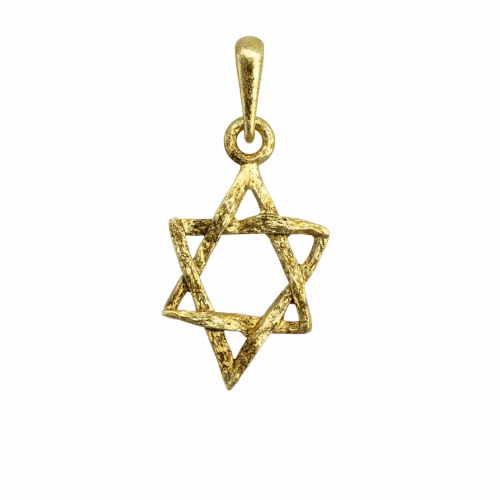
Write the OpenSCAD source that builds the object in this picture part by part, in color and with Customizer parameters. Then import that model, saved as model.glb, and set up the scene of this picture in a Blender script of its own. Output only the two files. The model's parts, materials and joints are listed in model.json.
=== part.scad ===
// Star of David pendant: two hammered triangles woven through each other and cast as one
// with the loop above them, hanging from a tapered bail. Millimetres, Z up, seen from -Y.
// The origin is where a chain bears: the middle of the bail's inside, at its top.

/* [Star] */
// Corner to corner across the star, along the bars' centre lines
star_width = 15.35; // [13:0.05:20]
// Top corner to bottom corner, along the bars' centre lines
star_height = 20.7; // [18:0.1:26]
// Width of a hammered bar, seen from the front
bar_width = 1.5; // [1.2:0.05:1.8]
// Depth of a bar from front to back
bar_thick = 1.2; // [1:0.05:1.5]
// Bevel that the hammer leaves along each edge of a bar
bar_bevel = 0.3; // [0.15:0.01:0.35]
// How far a bar rises over, or dips under, the bar that it crosses
weave_lift = 0.45; // [0.3:0.01:0.55]

/* [Loop] */
// Inside diameter of the loop
loop_bore = 2.5; // [2.3:0.05:3]
// Diameter of the loop's wire
loop_wire = 1.35; // [1.1:0.05:1.6]
// From the middle of the loop's wire to the star's top corner
neck_length = 1.43; // [1.2:0.01:2]
// Width of the neck under the loop
neck_width = 2.05; // [1.8:0.05:2.3]
// Depth of the neck from front to back
neck_thick = 1.5; // [1.3:0.05:1.7]

/* [Bail] */
// From the chain's seat to the loop's seat, inside the bail
bail_drop = 8.18; // [7.5:0.02:11]
// Radius of the round top inside the bail, which the chain passes through
eye_radius = 1.35; // [1.2:0.05:1.8]
// Width of the bail across its top
bail_width = 2.95; // [2.6:0.05:3.4]
// Width of the bail at its foot
foot_width = 1.12; // [0.9:0.02:1.3]
// Metal at the top of the bail, above the chain
crown_thick = 1.15; // [0.9:0.05:1.4]
// Metal in the bail's legs, beside the loop
leg_thick = 0.76; // [0.6:0.02:0.95]
// Metal in the bail's foot, under the loop
foot_thick = 1.47; // [1.1:0.01:1.6]

/* [Fits] */
// Air between the loop's wire and the bail's legs, on each side
side_gap = 0.08; // [0.05:0.01:0.15]
// Air over the bail's foot, where the loop hangs on it
hang_gap = 0.05; // [0.03:0.01:0.1]

/* [Hidden] */

// Places that follow from the sizes
wire_radius = loop_wire / 2;
ring_radius = (loop_bore + loop_wire) / 2;
loop_z = hang_gap - bail_drop - loop_bore / 2;
top_corner_z = loop_z - ring_radius - neck_length;
// The star's top corner lies a little to the right of the loop's middle
TOP_SHIFT = 0.06;
top_corner_x = TOP_SHIFT * bar_width;

// Corners of the two triangles: [x as a share of star_width, z as a share of star_height],
// counted from the star's top corner
TOP = [0, 0];
LOW_LEFT = [-0.537, -0.671];
LOW_RIGHT = [0.362, -0.739];
HIGH_LEFT = [-0.495, -0.249];
HIGH_RIGHT = [0.463, -0.283];
BOTTOM = [-0.127, -1];

function corner(share) = [top_corner_x + share[0] * star_width, top_corner_z + share[1] * star_height];

// Columns of the bars' tables
ALONG = 0;  // place along the bar, as a share of the way from corner to corner
ACROSS = 1; // shift to the left of the bar's direction, as a share of bar_width
LIFT = 2;   // shift towards the viewer, as a share of weave_lift
WIDE = 3;   // width seen from the front, as a share of bar_width
DEEP = 4;   // depth, as a share of bar_thick
ROLL = 5;   // degrees that the bar's front is turned to the left of its direction

// Upper bar, from the high left corner to the high right one
UPPER_BAR = [
    [-0.03, -0.04, -0.6, 0.72, 0.80, 0],
    [ 0.02, -0.03, -0.8, 0.98, 0.90, 0],
    [ 0.11, -0.02, -0.9, 1.10, 0.95, -6],
    [ 0.21,  0.04, -1.0, 1.09, 0.95, -6],
    [ 0.31,  0.08, -1.0, 1.04, 0.90, 4],
    [ 0.44,  0.10, -0.5, 0.90, 0.95, 18],
    [ 0.51,  0.23,  0.1, 1.07, 1.00, 20],
    [ 0.58,  0.37,  0.6, 1.26, 1.00, 18],
    [ 0.68,  0.41,  1.0, 1.20, 1.05, 14],
    [ 0.79,  0.36,  0.9, 1.10, 1.05, 22],
    [ 0.86,  0.35,  0.8, 1.00, 1.05, 22],
    [ 0.93,  0.24,  0.7, 0.86, 1.00, 4],
    [ 0.99,  0.08,  0.6, 0.72, 0.95, -18],
    [ 1.04, -0.09,  0.4, 0.50, 0.70, -24]];

// Left bar of the lower triangle, from the high left corner to the bottom
LEFT_BAR = [
    [-0.05,  0.08,  0.4, 0.50, 0.60, 0],
    [-0.02,  0.06,  0.7, 0.78, 0.85, 8],
    [ 0.03,  0.03,  0.9, 0.92, 1.00, 12],
    [ 0.09, -0.01,  0.9, 0.95, 1.00, 6],
    [ 0.16, -0.07,  0.9, 0.92, 1.00, -5],
    [ 0.28, -0.09,  1.0, 0.97, 1.05, -8],
    [ 0.38, -0.04,  0.8, 0.94, 1.00, -8],
    [ 0.48, -0.01,  0.0, 1.01, 1.00, -4],
    [ 0.55, -0.01, -0.7, 1.16, 0.95, 0],
    [ 0.61,  0.06, -1.0, 1.14, 0.90, 0],
    [ 0.68,  0.14, -0.8, 1.14, 0.95, 0],
    [ 0.76,  0.11, -0.3, 1.05, 1.00, -6],
    [ 0.83,  0.16,  0.1, 1.10, 1.00, -8],
    [ 0.89,  0.10,  0.3, 1.00, 1.00, 0],
    [ 0.95, -0.03,  0.4, 0.80, 0.95, 6],
    [ 1.00, -0.14,  0.3, 0.60, 0.85, 0],
    [ 1.03, -0.20,  0.2, 0.46, 0.60, 0],
    [ 1.048, -0.24, 0.1, 0.22, 0.30, 0]];

// Right bar of the lower triangle, from the high right corner to the bottom
RIGHT_BAR = [
    [-0.02,  0.02, -0.3, 0.66, 0.75, 0],
    [ 0.03,  0.13, -0.6, 0.88, 0.95, 6],
    [ 0.08,  0.30, -0.7, 0.82, 1.00, 14],
    [ 0.15,  0.42, -0.7, 0.80, 1.00, 16],
    [ 0.22,  0.42, -0.8, 0.88, 0.95, 10],
    [ 0.32,  0.36, -1.0, 0.88, 0.90, 4],
    [ 0.43,  0.19, -0.5, 0.82, 1.00, 12],
    [ 0.49,  0.17,  0.2, 1.04, 1.00, 12],
    [ 0.54,  0.12,  0.8, 1.20, 1.05, 8],
    [ 0.59,  0.13,  1.0, 1.18, 1.05, 4],
    [ 0.64,  0.06,  0.9, 1.08, 1.05, 10],
    [ 0.69, -0.02,  0.6, 1.10, 1.05, 18],
    [ 0.76, -0.05,  0.3, 1.06, 1.05, 20],
    [ 0.83, -0.05,  0.0, 1.02, 1.00, 18],
    [ 0.90, -0.03, -0.2, 0.88, 0.95, 14],
    [ 0.95,  0.06, -0.2, 0.70, 0.85, 8],
    [ 0.98,  0.27, -0.2, 0.34, 0.55, 0]];

// Left bar of the upper triangle, from the top to the low left corner
TOP_LEFT_BAR = [
    [-0.08, -0.30, -0.1, 0.50, 0.70, 0],
    [-0.02, -0.22,  0.0, 0.80, 1.00, 0],
    [ 0.04, -0.22,  0.1, 0.94, 1.05, -12],
    [ 0.11, -0.16,  0.3, 1.04, 1.10, -26],
    [ 0.19, -0.15,  0.6, 1.10, 1.10, -30],
    [ 0.26, -0.11,  0.9, 1.18, 1.10, -30],
    [ 0.33, -0.12,  1.0, 1.12, 1.05, -22],
    [ 0.40, -0.09,  0.9, 0.97, 1.00, -14],
    [ 0.47, -0.02,  0.5, 0.91, 1.00, -10],
    [ 0.55,  0.03, -0.2, 0.80, 1.00, -6],
    [ 0.62,  0.10, -0.8, 0.83, 0.95, 0],
    [ 0.70,  0.10, -1.0, 0.90, 0.90, 0],
    [ 0.76,  0.00, -0.8, 0.90, 0.95, -6],
    [ 0.84, -0.03, -0.5, 0.80, 1.00, -16],
    [ 0.91, -0.03, -0.4, 0.75, 1.00, -20],
    [ 0.97,  0.00, -0.5, 0.76, 0.95, -12],
    [ 1.01,  0.03, -0.5, 0.60, 0.80, 0]];

// Right bar of the upper triangle, from the top to the low right corner
TOP_RIGHT_BAR = [
    [-0.08,  0.10, -0.1, 0.50, 0.70, 0],
    [-0.02,  0.10,  0.0, 0.80, 1.00, 0],
    [ 0.04,  0.14,  0.0, 0.88, 1.05, 4],
    [ 0.11,  0.19, -0.2, 0.95, 1.05, 8],
    [ 0.17,  0.27, -0.4, 0.96, 1.00, 8],
    [ 0.24,  0.31, -0.8, 1.05, 0.95, 4],
    [ 0.33,  0.30, -1.0, 1.10, 0.90, 0],
    [ 0.43,  0.29, -0.5, 1.13, 0.95, 4],
    [ 0.50,  0.32,  0.1, 1.03, 1.00, 10],
    [ 0.57,  0.38,  0.7, 1.04, 1.05, 8],
    [ 0.64,  0.41,  1.0, 1.07, 1.05, 2],
    [ 0.70,  0.41,  1.0, 0.97, 1.05, -4],
    [ 0.76,  0.35,  0.8, 0.90, 1.00, 2],
    [ 0.83,  0.26,  0.6, 0.86, 1.00, 10],
    [ 0.89,  0.21,  0.6, 0.80, 1.00, 12],
    [ 0.96,  0.12,  0.6, 0.84, 0.95, 8],
    [ 1.01, -0.02,  0.5, 0.82, 0.85, 0],
    [ 1.035, -0.05, 0.3, 0.52, 0.55, 0]];

// Lower bar, from the low left corner to the low right one
LOWER_BAR = [
    [-0.045, 0.02,  0.4, 0.32, 0.60, 10],
    [-0.02,  0.01,  0.6, 0.46, 0.85, 20],
    [ 0.03, -0.02,  0.7, 0.54, 0.95, 28],
    [ 0.09, -0.05,  0.8, 0.62, 1.00, 24],
    [ 0.16, -0.12,  0.9, 0.72, 1.00, 12],
    [ 0.23, -0.17,  1.0, 0.88, 1.05, 2],
    [ 0.32, -0.17,  1.0, 1.10, 1.05, -4],
    [ 0.41, -0.17,  0.7, 1.15, 1.05, -4],
    [ 0.52, -0.15,  0.1, 1.13, 1.00, 0],
    [ 0.60, -0.16, -0.5, 1.14, 0.95, 4],
    [ 0.69, -0.14, -1.0, 1.04, 0.90, 4],
    [ 0.78, -0.14, -0.9, 0.94, 0.90, 0],
    [ 0.88, -0.11, -0.6, 0.84, 0.95, 0],
    [ 0.96, -0.05, -0.4, 0.84, 0.95, 0],
    [ 1.01,  0.01, -0.4, 0.74, 0.80, 0]];

// The neck, from the loop's wire down to the star's top hole. The first column is the place,
// as a share of neck_length below the wire
NECK_SHIFT = 1; // shift to the right, as a share of neck_width
NECK_WIDE = 2;  // width, as a share of neck_width
NECK_DEEP = 3;  // depth, as a share of neck_thick
NECK = [
    [-0.30, 0.00, 0.40, 0.55],
    [ 0.05, 0.00, 0.72, 0.92],
    [ 0.35, 0.00, 0.96, 1.00],
    [ 0.65, 0.00, 0.98, 1.00],
    [ 0.95, -0.04, 1.12, 0.98],
    [ 1.30, -0.04, 1.32, 0.94],
    [ 1.70, -0.05, 1.52, 0.90],
    [ 2.05, -0.06, 1.30, 0.75]];

// Webs of metal that fill the corners where bars meet, round the holes. Each has three
// points, counted as the corners are, and a radius, as a share of bar_width
WEB_RADIUS = 3;
// Depth of a web from front to back, as a share of a bar's
WEB_DEEP = 0.45;
WEBS = [
    [[-0.205, -0.277], [-0.159, -0.267], [-0.195, -0.301], 0.11],
    [[ 0.082, -0.272], [ 0.134, -0.282], [ 0.124, -0.311], 0.13],
    [[ 0.030, -0.697], [ 0.076, -0.688], [ 0.102, -0.659], 0.17],
    [[ 0.245, -0.601], [ 0.291, -0.606], [ 0.264, -0.586], 0.17],
    [[ 0.199, -0.697], [ 0.206, -0.668], [ 0.186, -0.692], 0.20],
    [[ 0.317, -0.712], [ 0.284, -0.717], [ 0.323, -0.688], 0.11],
    [[-0.068, -0.745], [-0.016, -0.779], [ 0.010, -0.745], 0.14],
    [[-0.107, -0.898], [-0.113, -0.940], [-0.094, -0.930], 0.13],
    [[-0.367, -0.441], [-0.394, -0.404], [-0.354, -0.400], 0.12],
    [[-0.400, -0.560], [-0.413, -0.557], [-0.387, -0.548], 0.12],
    [[-0.498, -0.649], [-0.472, -0.658], [-0.511, -0.668], 0.10],
    [[-0.426, -0.287], [-0.394, -0.282], [-0.433, -0.311], 0.10],
    [[ 0.304, -0.465], [ 0.330, -0.441], [ 0.304, -0.422], 0.11],
    [[ 0.414, -0.296], [ 0.388, -0.282], [ 0.427, -0.321], 0.13],
    [[-0.139, -0.238], [-0.081, -0.229], [-0.107, -0.190], 0.15],
    [[ 0.076, -0.180], [ 0.050, -0.205], [ 0.089, -0.195], 0.10]];

function between(low, high, share) = low + (high - low) * share;

// Half of the bail, from the top of its eye to the foot. Each row is made from the share of
// the way round, how far the width has grown from the foot's to the bail's, the metal there,
// and the share of that metal that lies inside the widest line
BAIL_WIDE = 1;  // width, seen from the front
BAIL_OUTER = 2; // metal outside the widest line
BAIL_INNER = 3; // metal inside it
function bail_row(way, width_share, metal, inner_share) =
    [way, between(foot_width, bail_width, width_share), metal * (1 - inner_share), metal * inner_share];
BAIL = [
    bail_row(0.00, 1.00, crown_thick, 0.10),
    bail_row(0.10, 1.00, crown_thick, 0.10),
    bail_row(0.22, 0.94, between(leg_thick, crown_thick, 0.80), 0.12),
    bail_row(0.35, 0.76, between(leg_thick, crown_thick, 0.45), 0.15),
    bail_row(0.50, 0.52, between(leg_thick, crown_thick, 0.15), 0.20),
    bail_row(0.65, 0.30, leg_thick, 0.25),
    bail_row(0.78, 0.12, leg_thick, 0.32),
    bail_row(0.88, 0.01, between(leg_thick, foot_thick, 0.15), 0.42),
    bail_row(0.94, 0.00, between(leg_thick, foot_thick, 0.65), 0.48),
    bail_row(1.00, 0.00, foot_thick, 0.50)];

// Smoothness of the sweeps
RINGS_A_ROW = 2;
LOOP_SIDES = 12;
LOOP_STEPS = 40;
WEB_SIDES = 10;
BAIL_RINGS = 30;
BAIL_SIDES = 16;

// A table's row that holds place t, and its columns read smoothly between rows
function row_of(rows, t, i = 0) = i < len(rows) - 2 && t > rows[i + 1][0] ? row_of(rows, t, i + 1) : i;
function slope(rows, i, column) =
    let(a = max(i - 1, 0), b = min(i + 1, len(rows) - 1))
    (rows[b][column] - rows[a][column]) / (rows[b][0] - rows[a][0]);
function read_at(rows, t, column) =
    let(
        i = row_of(rows, t),
        step = rows[i + 1][0] - rows[i][0],
        u = (t - rows[i][0]) / step,
        rise = rows[i + 1][column] - rows[i][column])
    rows[i][column] + rise * (3 - 2 * u) * u * u
    + step * u * (1 - u) * ((1 - u) * slope(rows, i, column) - u * slope(rows, i + 1, column));

// Places at which a table is swept: its rows, and even steps between them
function places(rows) = [
    for (i = [0 : len(rows) - 2], k = [0 : RINGS_A_ROW - 1])
        between(rows[i][0], rows[i + 1][0], k / RINGS_A_ROW),
    rows[len(rows) - 1][0]];

// Triangles of a tube of rings with n points each, with flat ends or closed on itself
function wall(rings, n, closed) = [
    for (i = [0 : rings - (closed ? 1 : 2)], k = [0 : n - 1])
        let(a = i * n, b = (i + 1) % rings * n, m = (k + 1) % n)
        each [[a + k, b + k, b + m], [a + k, b + m, a + m]]];
function end_cap(first, n, flip) = [
    for (k = [1 : n - 2]) flip ? [first, first + k + 1, first + k] : [first, first + k, first + k + 1]];

module tube(rings) {
    n = len(rings[0]);
    polyhedron(
        points = [for (ring = rings) each ring],
        faces = concat(
            wall(len(rings), n, false),
            end_cap(0, n, false),
            end_cap((len(rings) - 1) * n, n, true)));
}

module closed_tube(rings) {
    polyhedron(points = [for (ring = rings) each ring], faces = wall(len(rings), len(rings[0]), true));
}

// Section of a bar: a bevelled oblong whose width seen from the front is wide, after its roll.
// Where the bar is thin, the bevels leave this much of each half face
LEAST_FACE = 0.02;
function bar_section(wide, deep, roll) =
    let(
        y = deep / 2,
        y1 = max(y - bar_bevel, LEAST_FACE),
        x = (wide / 2 - y1 * abs(sin(roll))) / cos(roll),
        x1 = max(x - bar_bevel, LEAST_FACE))
    [for (p = [[x, y1], [x1, y], [-x1, y], [-x, y1], [-x, -y1], [-x1, -y], [x1, -y], [x, -y1]])
        [p[0] * cos(roll) + p[1] * sin(roll), p[1] * cos(roll) - p[0] * sin(roll)]];

// One hammered bar, swept from one corner of the star to another by its table
module bar(from, to, rows) {
    start = corner(from);
    way = corner(to) - start;
    length = norm(way);
    ahead = way / length;
    left = [-ahead[1], ahead[0]];
    tube([for (t = places(rows))
        let(
            middle = start + ahead * length * t + left * bar_width * read_at(rows, t, ACROSS),
            lift = weave_lift * read_at(rows, t, LIFT),
            section = bar_section(
                bar_width * read_at(rows, t, WIDE),
                bar_thick * read_at(rows, t, DEEP),
                read_at(rows, t, ROLL)))
        [for (p = section)
            let(q = middle + left * p[0]) [q[0], -lift - p[1], q[1]]]]);
}

module upper_triangle() {
    bar(TOP, LOW_LEFT, TOP_LEFT_BAR);
    bar(TOP, LOW_RIGHT, TOP_RIGHT_BAR);
    bar(LOW_LEFT, LOW_RIGHT, LOWER_BAR);
}

module lower_triangle() {
    bar(HIGH_LEFT, HIGH_RIGHT, UPPER_BAR);
    bar(HIGH_LEFT, BOTTOM, LEFT_BAR);
    bar(HIGH_RIGHT, BOTTOM, RIGHT_BAR);
}

module loop() {
    translate([0, 0, loop_z]) rotate([90, 0, 0])
        rotate_extrude($fn = LOOP_STEPS) translate([ring_radius, 0]) circle(wire_radius, $fn = LOOP_SIDES);
}

// Oval section of the neck, which is swept downwards
function oval(wide, deep, sides) = [
    for (k = [0 : sides - 1]) let(a = -360 * k / sides) [wide / 2 * cos(a), deep / 2 * sin(a)]];

module neck() {
    tube([for (t = places(NECK))
        let(
            x = neck_width * read_at(NECK, t, NECK_SHIFT),
            z = loop_z - ring_radius - neck_length * t,
            section = oval(
                neck_width * read_at(NECK, t, NECK_WIDE),
                neck_thick * read_at(NECK, t, NECK_DEEP),
                LOOP_SIDES))
        [for (p = section) [x + p[0], p[1], z]]]);
}

module webs() {
    for (web = WEBS)
        hull()
            for (k = [0 : WEB_RADIUS - 1])
                let(p = corner(web[k]))
                translate([p[0], 0, p[1]]) rotate([90, 0, 0])
                    cylinder(
                        bar_thick * WEB_DEEP,
                        r = bar_width * web[WEB_RADIUS],
                        center = true,
                        $fn = WEB_SIDES);
}

module star() {
    color("goldenrod") {
        loop();
        neck();
        upper_triangle();
        lower_triangle();
        webs();
    }
}

// The bail's inside seen from the side: a large arc over the chain, a small one over the
// foot, and the two straight legs that touch both
foot_radius = wire_radius + side_gap;
eye_centre = -eye_radius;
foot_centre = foot_radius - bail_drop;
lean = asin((eye_radius - foot_radius) / (eye_centre - foot_centre));
leg_length = (eye_centre - foot_centre) * cos(lean);
eye_turn = 90 + lean;
foot_turn = 90 - lean;

// Point and outward direction on that inside, a share of the way from top to foot, as [y, z]
EYE_SHARE = 0.25;
LEG_SHARE = 0.85;
function inside_turn(way) =
    way < EYE_SHARE ? eye_turn * way / EYE_SHARE
    : way < LEG_SHARE ? eye_turn
    : eye_turn + foot_turn * (way - LEG_SHARE) / (1 - LEG_SHARE);
function inside_point(way) =
    let(a = inside_turn(way), out = [sin(a), cos(a)])
    way < EYE_SHARE ? [0, eye_centre] + eye_radius * out
    : way < LEG_SHARE ? [0, eye_centre] + eye_radius * out
        + leg_length * (way - EYE_SHARE) / (LEG_SHARE - EYE_SHARE) * [out[1], -out[0]]
    : [0, foot_centre] + foot_radius * out;

// Section of the bail: an oval, fuller outside its widest line than inside it
BAIL_FULLNESS = 0.9;
function fuller(share) = sign(share) * pow(abs(share), BAIL_FULLNESS);
function bail_section(wide, outer, inner) = [
    for (k = [0 : BAIL_SIDES - 1])
        let(a = 360 * k / BAIL_SIDES)
        [wide / 2 * fuller(cos(a)), (sin(a) > 0 ? outer : inner) * fuller(sin(a))]];

function bail_ring(way, side) =
    let(
        p = inside_point(way),
        a = inside_turn(way),
        out = [side * sin(a), cos(a)],
        inner = read_at(BAIL, way, BAIL_INNER),
        section = bail_section(read_at(BAIL, way, BAIL_WIDE), read_at(BAIL, way, BAIL_OUTER), inner))
    [for (q = section)
        let(r = [side * p[0], p[1]] + out * (inner + q[1])) [q[0], r[0], r[1]]];

module bail() {
    color("gold")
        closed_tube(concat(
            [for (k = [0 : BAIL_RINGS]) bail_ring(k / BAIL_RINGS, -1)],
            [for (k = [BAIL_RINGS - 1 : -1 : 1]) bail_ring(k / BAIL_RINGS, 1)]));
}

star();
bail();
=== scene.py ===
"""Looks of a cast gold Star of David pendant: hammered, woven bars, a loop and a polished bail."""

import json
import math

import bpy
import numpy as np
from bpy.props import FloatProperty, FloatVectorProperty, IntProperty, PointerProperty, StringProperty
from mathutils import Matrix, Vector


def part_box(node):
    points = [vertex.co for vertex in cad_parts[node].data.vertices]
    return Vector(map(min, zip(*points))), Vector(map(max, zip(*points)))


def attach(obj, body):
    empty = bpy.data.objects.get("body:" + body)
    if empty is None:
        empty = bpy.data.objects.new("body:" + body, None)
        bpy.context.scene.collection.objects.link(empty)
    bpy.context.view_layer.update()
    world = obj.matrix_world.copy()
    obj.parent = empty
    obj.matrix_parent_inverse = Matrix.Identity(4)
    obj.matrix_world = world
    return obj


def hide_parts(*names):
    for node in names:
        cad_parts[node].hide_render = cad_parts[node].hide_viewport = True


bl_info = {
    "name": "Woven star pendant",
    "version": (1, 0, 0),
    "blender": (4, 5, 0),
    "location": "View3D > Sidebar > Pendant",
    "description": "Builds a hammered gold star pendant, its bail and a small studio",
    "category": "Add Mesh",
}

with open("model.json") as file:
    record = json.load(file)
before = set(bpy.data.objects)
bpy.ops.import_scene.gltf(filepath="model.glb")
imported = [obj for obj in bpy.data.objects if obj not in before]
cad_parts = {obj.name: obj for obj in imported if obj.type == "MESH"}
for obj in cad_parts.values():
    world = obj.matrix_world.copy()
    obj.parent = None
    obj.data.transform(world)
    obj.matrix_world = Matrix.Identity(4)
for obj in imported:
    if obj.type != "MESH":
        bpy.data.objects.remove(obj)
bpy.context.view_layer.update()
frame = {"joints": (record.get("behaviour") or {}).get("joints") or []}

MM = 0.001
# The loop's middle, in mm, is the joint about which the star swings
SWING = next(joint for joint in frame["joints"] if joint["name"] == "star_swing")
LOOP_Z = SWING["pos_m"][2] / MM
BAIL_LOW, BAIL_HIGH = (np.array(corner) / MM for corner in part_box("bail"))

# Corners of the two triangles, as shares of the star's width and height from its top corner
TOP = (0, 0)
LOW_LEFT = (-0.537, -0.671)
LOW_RIGHT = (0.362, -0.739)
HIGH_LEFT = (-0.495, -0.249)
HIGH_RIGHT = (0.463, -0.283)
BOTTOM = (-0.127, -1)

# Columns of the bars' tables: place along the bar from corner to corner, shift to the left of
# its direction as a share of its width, lift towards the viewer as a share of the weave's lift,
# width and depth as shares of the bar's, degrees that its front is turned to the left, where
# its ridge runs across it (-1 right edge, 1 left edge), how high the front stands at its left
# and right edges, as a share of half the depth, and how strongly it is marked by tools, where
# more than 1 is also battered and dull
ALONG, ACROSS, LIFT, WIDE, DEEP, ROLL, RIDGE, LEFT_EDGE, RIGHT_EDGE, MARKS = range(10)

UPPER_BAR = [
    (-0.03, -0.04, -0.6, 0.72, 0.8, 0, -0.2, 0.3, 0.3, 0.9),
    (0.02, -0.03, -0.8, 0.98, 0.9, 4, -0.5, 0.6, 0.4, 0.6),
    (0.09, -0.02, -0.9, 1.1, 0.95, 6, -0.7, 0.6, 0.4, 0.6),
    (0.14, -0.01, -0.9, 1.1, 0.95, -6, 0.2, 0.6, 0.8, 1.12),
    (0.21, 0.04, -1, 1.09, 0.95, -8, 0.6, 0.6, 0.8, 1.2),
    (0.31, 0.08, -1, 1.04, 0.9, 4, -0.3, 0.8, 0.2, 0.8),
    (0.38, 0.08, -0.6, 0.96, 0.92, 10, -0.7, 0.7, 0.6, 0.2),
    (0.44, 0.12, -0.5, 0.92, 0.95, 4, 0, 0.5, 0.7, 1.05),
    (0.51, 0.27, 0.1, 1.12, 1, -4, 0.5, 0.3, 0.85, 1.12),
    (0.58, 0.39, 0.6, 1.26, 1, -3, 0.15, 0.7, 0.8, 1.05),
    (0.68, 0.41, 1, 1.2, 1.05, 3, -0.15, 0.75, 0.7, 1),
    (0.79, 0.36, 0.9, 1.1, 1.05, 4, -0.4, 0.7, 0.6, 0.8),
    (0.86, 0.35, 0.8, 1, 1.05, 6, -0.5, 0.5, -0.4, 0.5),
    (0.93, 0.24, 0.7, 0.86, 1, 2, -0.1, 0.4, -0.3, 0.5),
    (0.99, 0.12, 0.65, 0.82, 0.95, -12, -0.2, 0.3, 0, 0.8),
    (1.035, 0.02, 0.6, 0.62, 0.7, -16, 0, 0.4, 0.4, 0.8),
    (1.055, -0.03, 0.6, 0.36, 0.4, -16, 0, 0.4, 0.4, 0.8),
]

LEFT_BAR = [
    (-0.05, 0.08, 0.4, 0.5, 0.6, 0, 0, 0.4, 0.4, 0.8),
    (-0.02, 0.06, 0.6, 0.78, 0.85, 6, 0.1, 0.4, 0.2, 1),
    (0.03, 0.03, 0.8, 0.92, 1, 4, 0.3, 0.6, 0, 1.08),
    (0.09, -0.01, 0.8, 0.95, 1, 2, 0.5, 0.7, 0.3, 1.1),
    (0.16, -0.07, 0.8, 0.92, 1, 8, 0.6, 0.7, 0.6, 0.95),
    (0.28, -0.09, 0.8, 0.97, 1.05, 8, 0.65, 0.7, 0.8, 1),
    (0.38, -0.04, 0.5, 0.94, 1, 3, 0.65, 0.7, 0.75, 1.1),
    (0.48, -0.01, 0, 1.01, 1, 9, 0.6, 0.6, 0.95, 0.95),
    (0.55, -0.01, -0.5, 1.16, 0.95, 6, 0.5, 0.6, 0.95, 0.95),
    (0.61, 0.06, -0.8, 1.14, 0.9, 4, 0.4, 0.6, 0.9, 0.9),
    (0.68, 0.14, -0.7, 1.14, 0.95, 2, 0.4, 0.5, 0.9, 1.12),
    (0.76, 0.11, -0.5, 1.05, 1, 4, 0.4, 0.5, 0.9, 1.25),
    (0.83, 0.16, -0.4, 1.1, 1, 5, 0.4, 0.5, 0.9, 1.15),
    (0.89, 0.1, -0.4, 1, 1, 4, 0.4, 0.5, 0.9, 1.12),
    (0.95, -0.03, -0.4, 0.8, 0.95, -4, 0.2, 0.7, 0.7, 1),
    (1, -0.14, -0.3, 0.6, 0.85, 0, 0.3, 0.3, 0.4, 0.9),
    (1.03, -0.2, 0, 0.46, 0.6, 0, 0, 0.4, 0.4, 0.9),
    (1.048, -0.24, 0, 0.22, 0.3, 0, 0, 0.4, 0.4, 0.9),
]

RIGHT_BAR = [
    (-0.02, 0.1, -0.1, 0.72, 0.75, 0, 0, 0.4, 0.4, 0.6),
    (0.03, 0.2, -0.4, 0.94, 0.95, 4, -0.3, 0.6, 0, 0.7),
    (0.08, 0.3, -0.7, 0.82, 1, -2, -0.2, 0.6, -0.2, 1.05),
    (0.15, 0.42, -0.7, 0.8, 1, 2, -0.2, 0.6, -0.2, 1.05),
    (0.22, 0.42, -0.7, 0.88, 0.95, 10, -0.2, 0.5, 0, 0.8),
    (0.32, 0.36, -0.8, 0.88, 0.9, 4, 0, 0.6, 0.1, 0.8),
    (0.43, 0.16, -0.4, 0.92, 1, -8, -0.1, 0.7, 0, 1.12),
    (0.49, 0.14, -0.1, 1.06, 1, -14, -0.2, 0.7, 0.1, 1.08),
    (0.54, 0.12, 0.2, 1.15, 1.05, -12, -0.3, 0.7, 0.1, 1.08),
    (0.59, 0.13, 0.6, 1.16, 1.05, 0, -0.4, 0.7, 0, 0.95),
    (0.64, 0.06, 0.9, 1.08, 1.05, 12, -0.5, 0.6, -0.2, 0.9),
    (0.69, -0.02, 0.85, 1.1, 1.05, 14, -0.55, 0.75, -0.1, 0.7),
    (0.76, -0.05, 0.6, 1.06, 1.05, 2, -0.45, 0.95, 0.2, 1.15),
    (0.83, -0.05, 0.4, 1.02, 1, 2, -0.45, 1, 0.2, 1.2),
    (0.9, -0.03, 0.35, 0.9, 0.95, 2, -0.4, 0.95, -0.2, 1.2),
    (0.96, 0.02, 0.4, 0.72, 0.85, 0, -0.4, 0.6, 0, 0.9),
    (1, 0.1, 0.3, 0.5, 0.7, 0, -0.2, 0.5, 0.2, 0.4),
    (1.03, 0.16, 0.1, 0.3, 0.45, 0, 0, 0.4, 0.4, 0.3),
]

TOP_LEFT_BAR = [
    (-0.08, -0.3, 0, 0.5, 0.7, 0, 0, 0.5, 0.5, 0.1),
    (-0.02, -0.22, 0.3, 0.8, 1, 0, 0.1, 0.3, 0.5, 0.1),
    (0.04, -0.22, 0.45, 0.94, 1.05, -2, 0.3, 0.6, 0.75, 0.2),
    (0.11, -0.16, 0.55, 1.04, 1.1, 0, 0.35, 0.45, 0.85, 0.35),
    (0.19, -0.15, 0.7, 1.1, 1.1, 0, 0.4, 0.1, 0.85, 1.02),
    (0.26, -0.11, 0.8, 1.18, 1.1, 3, 0.35, 0.1, 0.75, 0.9),
    (0.33, -0.12, 0.75, 1.12, 1.05, 3, 0.65, 0.6, 0.9, 1),
    (0.4, -0.09, 0.4, 0.97, 1, -3, 0.7, 0.75, 0.95, 1.1),
    (0.47, -0.04, 0.1, 0.95, 1, 0, 0.7, 0.75, 0.9, 1.1),
    (0.55, -0.04, -0.1, 0.95, 1, 5, 0.8, 0.5, 0.95, 0.45),
    (0.62, 0.04, -0.3, 0.95, 0.95, 18, 0.5, 0.7, 0.98, 0.3),
    (0.7, 0.1, -0.7, 0.9, 0.9, 0, 0, 0.5, 0.5, 0.5),
    (0.76, -0.04, -0.95, 0.94, 0.95, 4, 0.2, 0.3, 0.85, 1.12),
    (0.84, -0.08, -0.9, 0.88, 1, 13, 0, 0.3, 0.9, 1.12),
    (0.91, -0.08, -0.9, 0.84, 1, 12, 0, 0.3, 0.8, 1.12),
    (0.97, -0.04, -0.8, 0.84, 0.95, 4, 0.3, 0.3, 0.6, 1.05),
    (1.01, 0.01, -0.5, 0.68, 0.8, 0, 0, 0.4, 0.4, 0.9),
]

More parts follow.
